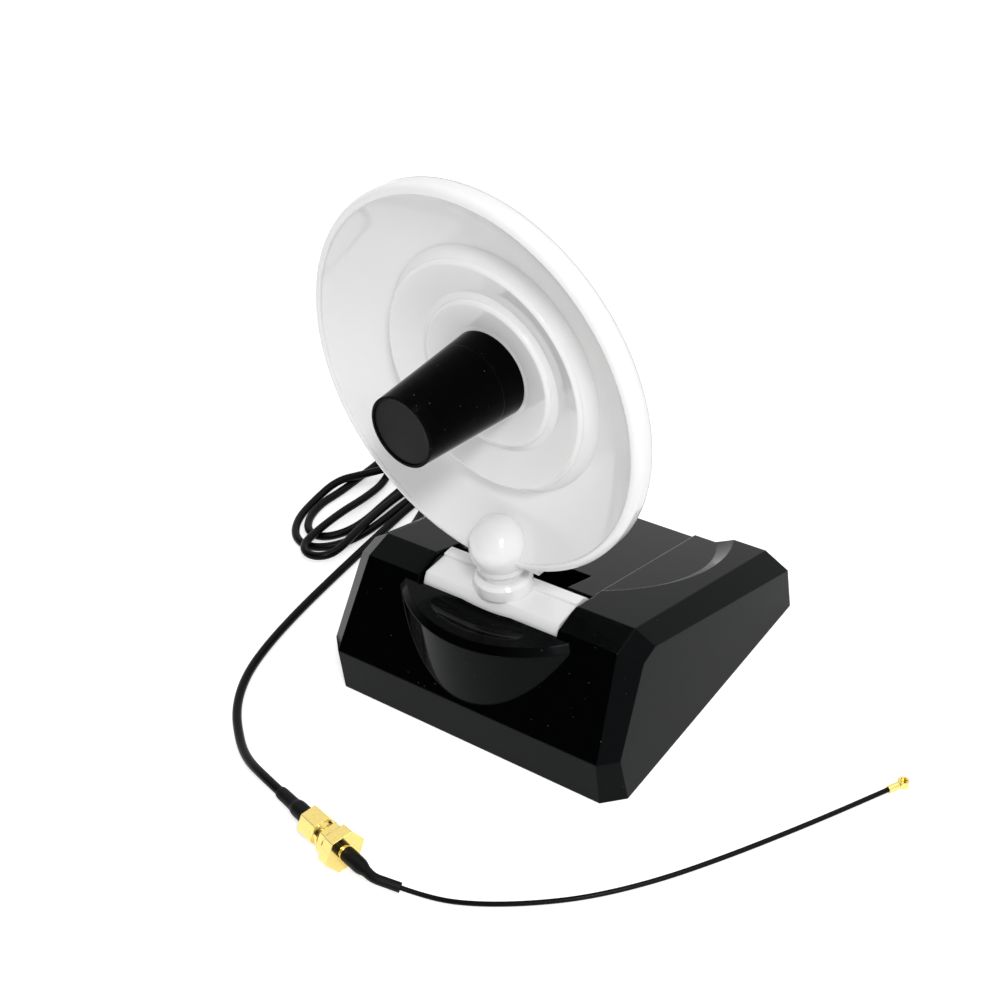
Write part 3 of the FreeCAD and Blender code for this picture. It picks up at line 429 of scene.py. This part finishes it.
# The jack's thread shows between the coupling nut and the panel nut, as one fine helix.
thread_tree = bpy.data.node_groups.new("jack_thread", "GeometryNodeTree")
thread_tree.interface.new_socket("Geometry", in_out="INPUT", socket_type="NodeSocketGeometry")
thread_sizes = {"Turns": 2.0, "Radius": 0.0031, "Length": 0.0014, "Ridge": 0.0003}
thread_sockets = {
    label: thread_tree.interface.new_socket(
        label, in_out="INPUT", socket_type="NodeSocketFloat").identifier
    for label in thread_sizes}
thread_tree.interface.new_socket("Geometry", in_out="OUTPUT", socket_type="NodeSocketGeometry")
thread_in = thread_tree.nodes.new("NodeGroupInput")
thread_helix = add(thread_tree, "GeometryNodeCurveSpiral", {
    "Resolution": 40, "Rotations": thread_in.outputs["Turns"],
    "Start Radius": thread_in.outputs["Radius"], "End Radius": thread_in.outputs["Radius"],
    "Height": thread_in.outputs["Length"]})
thread_ridge = add(thread_tree, "GeometryNodeCurvePrimitiveCircle", {
    "Resolution": 6, "Radius": thread_in.outputs["Ridge"]})
thread_sweep = add(thread_tree, "GeometryNodeCurveToMesh", {
    "Curve": thread_helix.outputs["Curve"], "Profile Curve": thread_ridge.outputs["Curve"],
    "Fill Caps": True})
thread_real = add(thread_tree, "GeometryNodeRealizeInstances", {
    "Geometry": thread_sweep.outputs["Mesh"]})
thread_paint = add(thread_tree, "GeometryNodeSetMaterial", {
    "Geometry": thread_real.outputs["Geometry"], "Material": gold_plated})
thread_out = thread_tree.nodes.new("NodeGroupOutput")
thread_tree.links.new(thread_paint.outputs["Geometry"], thread_out.inputs["Geometry"])
thread_draft = bpy.data.objects.new("thread_draft", bpy.data.meshes.new("thread_draft"))
bpy.context.scene.collection.objects.link(thread_draft)
thread_modifier = thread_draft.modifiers.new("jack_thread", "NODES")
thread_modifier.node_group = thread_tree
for label, value in thread_sizes.items():
    thread_modifier[thread_sockets[label]] = value
thread_shape = thread_draft.evaluated_get(bpy.context.evaluated_depsgraph_get())
thread_mesh = bpy.data.meshes.new_from_object(thread_shape)
thread_draft.modifiers.clear()
bpy.data.objects.remove(thread_draft)
thread_reach = 22.3
thread_start = Vector(along_connector(thread_reach)) * MM
thread_mesh.transform(
    Matrix.Translation(thread_start) @ Matrix.Rotation(connector_turn, 4, "Z")
    @ Matrix.Rotation(math.radians(90), 4, "Y"))
jack_thread = bpy.data.objects.new("jack_thread", thread_mesh)
bpy.context.scene.collection.objects.link(jack_thread)
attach(jack_thread, "base")

# Pigtail
# A thin coax leaves the jack through a shrunk sleeve, lies on the table in one bow and ends in a
# tiny snap connector.
pigtail_diameter = 0.00137
pigtail_level = 0.75
snap_level = 1.0
pigtail_points = [
    sleeve_end, (27.5, -100, 0.8), (38, -95.6, pigtail_level), (50, -88, pigtail_level),
    (62, -78.2, pigtail_level), (74, -64.6, pigtail_level), (85, -48.7, pigtail_level),
    (96, -31, pigtail_level), (104.6, -16.7, snap_level), (110.5, -6.2, snap_level),
]
pigtail_cord = laid_cord("pigtail_line", pigtail_points, pigtail_diameter)
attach(pigtail_cord, "base")
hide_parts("pigtail_cord")

# Table and light
# The antenna stands on a plain white table in a bright studio, with soft lights at the camera's
# right, at the antenna's side and above it. The table shows white and keeps the shadow.
table_half = 30.0
table_top = -0.00005
table_glow_level = 0.47
table_corners = [
    (-table_half, -table_half, table_top), (table_half, -table_half, table_top),
    (table_half, table_half, table_top), (-table_half, table_half, table_top),
]
table_mesh = bpy.data.meshes.new("table")
table_mesh.from_pydata(table_corners, [], [(0, 1, 2, 3)])
table = bpy.data.objects.new("table", table_mesh)
bpy.context.scene.collection.objects.link(table)
table_finish = bpy.data.materials.new("table_white")
table_finish.use_nodes = True
table_tree = table_finish.node_tree
table_shader = table_tree.nodes["Principled BSDF"]
table_shader.inputs["Base Color"].default_value = (0.9, 0.9, 0.9, 1)
table_shader.inputs["Roughness"].default_value = 0.7
table_shader.inputs["Specular IOR Level"].default_value = 0.0
table_shader.inputs["Emission Color"].default_value = (1, 1, 1, 1)
table_path = table_tree.nodes.new("ShaderNodeLightPath")
table_mirrored = add(table_tree, "ShaderNodeMath", {
    0: table_path.outputs["Is Glossy Ray"], 1: table_path.outputs["Is Transmission Ray"]},
    operation="MAXIMUM")
table_seen = add(table_tree, "ShaderNodeMath", {
    0: table_path.outputs["Is Camera Ray"], 1: table_mirrored.outputs["Value"]},
    operation="MAXIMUM")
table_glow = add(table_tree, "ShaderNodeMath", {
    0: table_seen.outputs["Value"], 1: table_glow_level}, operation="MULTIPLY")
table_tree.links.new(table_glow.outputs["Value"], table_shader.inputs["Emission Strength"])
table_mesh.materials.append(table_finish)

# The room lights the antenna evenly. In reflections it is dark towards one side, where no light
# stands, which leaves the base's front black.
room_light = 0.6
mirrored_bright, mirrored_dark = 1.05, 0.03
dark_direction = (-0.45, -0.8, 0.4)
dark_starts, dark_full = 0.4, 0.9
world = bpy.data.worlds.new("studio")
world.use_nodes = True
bpy.context.scene.world = world
sky = world.node_tree
sky_path = sky.nodes.new("ShaderNodeLightPath")
sky_place = sky.nodes.new("ShaderNodeTexCoord").outputs["Generated"]
dark_side = add(sky, "ShaderNodeVectorMath", {
    0: sky_place, 1: dark_direction}, operation="DOT_PRODUCT")
studio_level = add(sky, "ShaderNodeMapRange", {
    "Value": dark_side.outputs["Value"], "From Min": dark_starts, "From Max": dark_full,
    "To Min": mirrored_bright, "To Max": mirrored_dark})
seen_level = add(sky, "ShaderNodeMix", {
    "Factor": sky_path.outputs["Is Glossy Ray"], "A": room_light,
    "B": studio_level.outputs["Result"]})
camera_level = add(sky, "ShaderNodeMix", {
    "Factor": sky_path.outputs["Is Camera Ray"], "A": seen_level.outputs["Result"], "B": 1.0})
background = sky.nodes["Background"]
background.inputs["Color"].default_value = (1, 1, 1, 1)
sky.links.new(camera_level.outputs["Result"], background.inputs["Strength"])


def soft_light(name, place, width, height, watts):
    """A rectangular soft light that faces the antenna."""
    aim = Vector((0, 0, 0.06))
    lamp = bpy.data.lights.new(name, "AREA")
    lamp.shape = "RECTANGLE"
    lamp.size = width
    lamp.size_y = height
    lamp.energy = watts
    light = bpy.data.objects.new(name, lamp)
    light.location = place
    light.rotation_mode = "QUATERNION"
    light.rotation_quaternion = (aim - Vector(place)).to_track_quat("-Z", "Y")
    bpy.context.scene.collection.objects.link(light)


soft_light("key_softbox", (0.56, -0.44, 0.83), width=0.22, height=0.16, watts=4.3)
soft_light("front_softbox", (0.76, -0.72, 0.64), width=0.1, height=0.07, watts=0.35)
soft_light("side_softbox", (1.1, 0.03, 0.14), width=0.1, height=0.12, watts=0.3)
soft_light("top_softbox", (0.3, 0.2, 0.95), width=0.4, height=0.4, watts=1.2)
